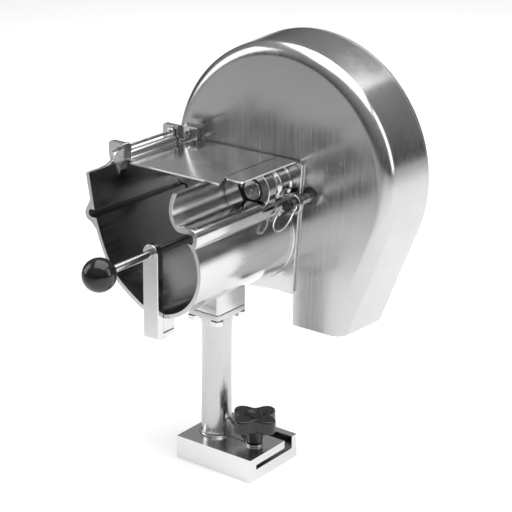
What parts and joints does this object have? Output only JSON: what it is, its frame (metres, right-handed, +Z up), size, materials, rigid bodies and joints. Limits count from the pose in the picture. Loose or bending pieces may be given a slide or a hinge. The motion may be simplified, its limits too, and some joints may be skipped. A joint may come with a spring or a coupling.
{
  "type": "rotary vegetable slicer",
  "caption": "Hand-cranked rotary slicer: open feed trough with a push rod, flip lid, round blade housing with a discharge chute, post and slotted clamp base.",
  "frame": {"origin": "middle of the base block's underside", "axes": "+Z up, +Y from the feed trough's mouth towards the blade housing, +X to the right as seen from the mouth"},
  "size_m": [0.2899, 0.4251, 0.4419],
  "materials": {
    "base_aluminium": "milled and brushed",
    "leg_aluminium": "satin cast, hand polished",
    "trough_aluminium": "polished casting",
    "plate_aluminium": "bright polished",
    "housing_aluminium": "polished casting with fine buffing lines",
    "arm_aluminium": "satin casting",
    "steel": "turned stainless steel",
    "disc_steel": "circular brushed",
    "blade_steel": "ground edge",
    "black_bush": "matt black bearing plastic",
    "bronze": "sintered bronze",
    "gloss_black": "moulded gloss black",
    "satin_black": "moulded satin black",
    "grip_white": "moulded satin white"
  },
  "bodies": {
    "frame": {"base_block": "base_aluminium", "leg_post": "leg_aluminium", "saddle_bolt_1": "steel", "saddle_bolt_2": "steel", "saddle_bolt_3": "steel", "saddle_bolt_4": "steel", "hopper_trough": "trough_aluminium", "front_plate": "plate_aluminium", "shaft_boss": "trough_aluminium", "front_bush": "black_bush", "rear_bush": "black_bush", "top_ledge": "plate_aluminium", "hinge_bracket": "plate_aluminium", "hinge_pin": "steel", "hinge_cotter": "steel", "bracket_screw": "steel", "guide_bar": "plate_aluminium", "bar_bolt": "steel", "blade_housing": "housing_aluminium", "rear_plate": "housing_aluminium", "shaft_rear_bush": "bronze", "cover_screw_1": "steel", "cover_screw_2": "steel", "cover_screw_3": "steel", "cover_screw_4": "steel", "cover_screw_5": "steel"},
    "clamp_screw": {"clamp_stud": "steel", "clamp_knob": "satin_black", "clamp_washer": "steel"},
    "lid": {"lid": "plate_aluminium"},
    "pusher": {"pusher_rod": "steel", "pusher_plate": "arm_aluminium", "pusher_ball": "gloss_black"},
    "rotor": {"main_shaft": "steel", "cutting_disc": "disc_steel", "disc_hub": "arm_aluminium", "hub_set_screw": "steel", "hub_screw_1": "steel", "hub_screw_2": "steel", "hub_screw_3": "steel", "blade_1": "blade_steel", "blade_2": "blade_steel", "blade_screw_1": "steel", "blade_screw_2": "steel", "blade_screw_3": "steel", "blade_screw_4": "steel", "crank_arm": "arm_aluminium", "crank_nut": "steel", "grip_axle": "steel"},
    "grip": {"crank_grip": "grip_white"},
    "latch": {"cover_pin": "steel", "pin_cap": "satin_black"},
    "ring": {"pull_ring": "steel"}
  },
  "joints": [
    {"name": "crank_spin", "type": "hinge", "parent": "frame", "child": "rotor", "pos_m": [-0.007, 0, 0.293], "axis": [0, 1, 0], "continuous": true},
    {"name": "grip_spin", "type": "hinge", "parent": "rotor", "child": "grip", "pos_m": [0.01991, 0.2, 0.37888], "axis": [0, 1, 0], "continuous": true},
    {"name": "pusher_slide", "type": "slide", "parent": "frame", "child": "pusher", "axis": [0, -1, 0], "range_m": [0, 0.135]},
    {"name": "lid_hinge", "type": "hinge", "parent": "frame", "child": "lid", "pos_m": [-0.13, 0.013, 0.3305], "axis": [0, -1, 0], "range_deg": [0, 110]},
    {"name": "latch_pull", "type": "slide", "parent": "frame", "child": "latch", "axis": [0, -1, 0], "range_m": [0, 0.012]},
    {"name": "ring_swing", "type": "hinge", "parent": "latch", "child": "ring", "pos_m": [0.0225, 0.0604, 0.276], "axis": [1, 0, 0], "range_deg": [-40, 15]},
    {"name": "clamp_turn", "type": "hinge", "parent": "frame", "child": "clamp_screw", "pos_m": [0.028, -0.0057, 0.03], "axis": [0, 0, 1], "range_deg": [0, 1080]}
  ]
}
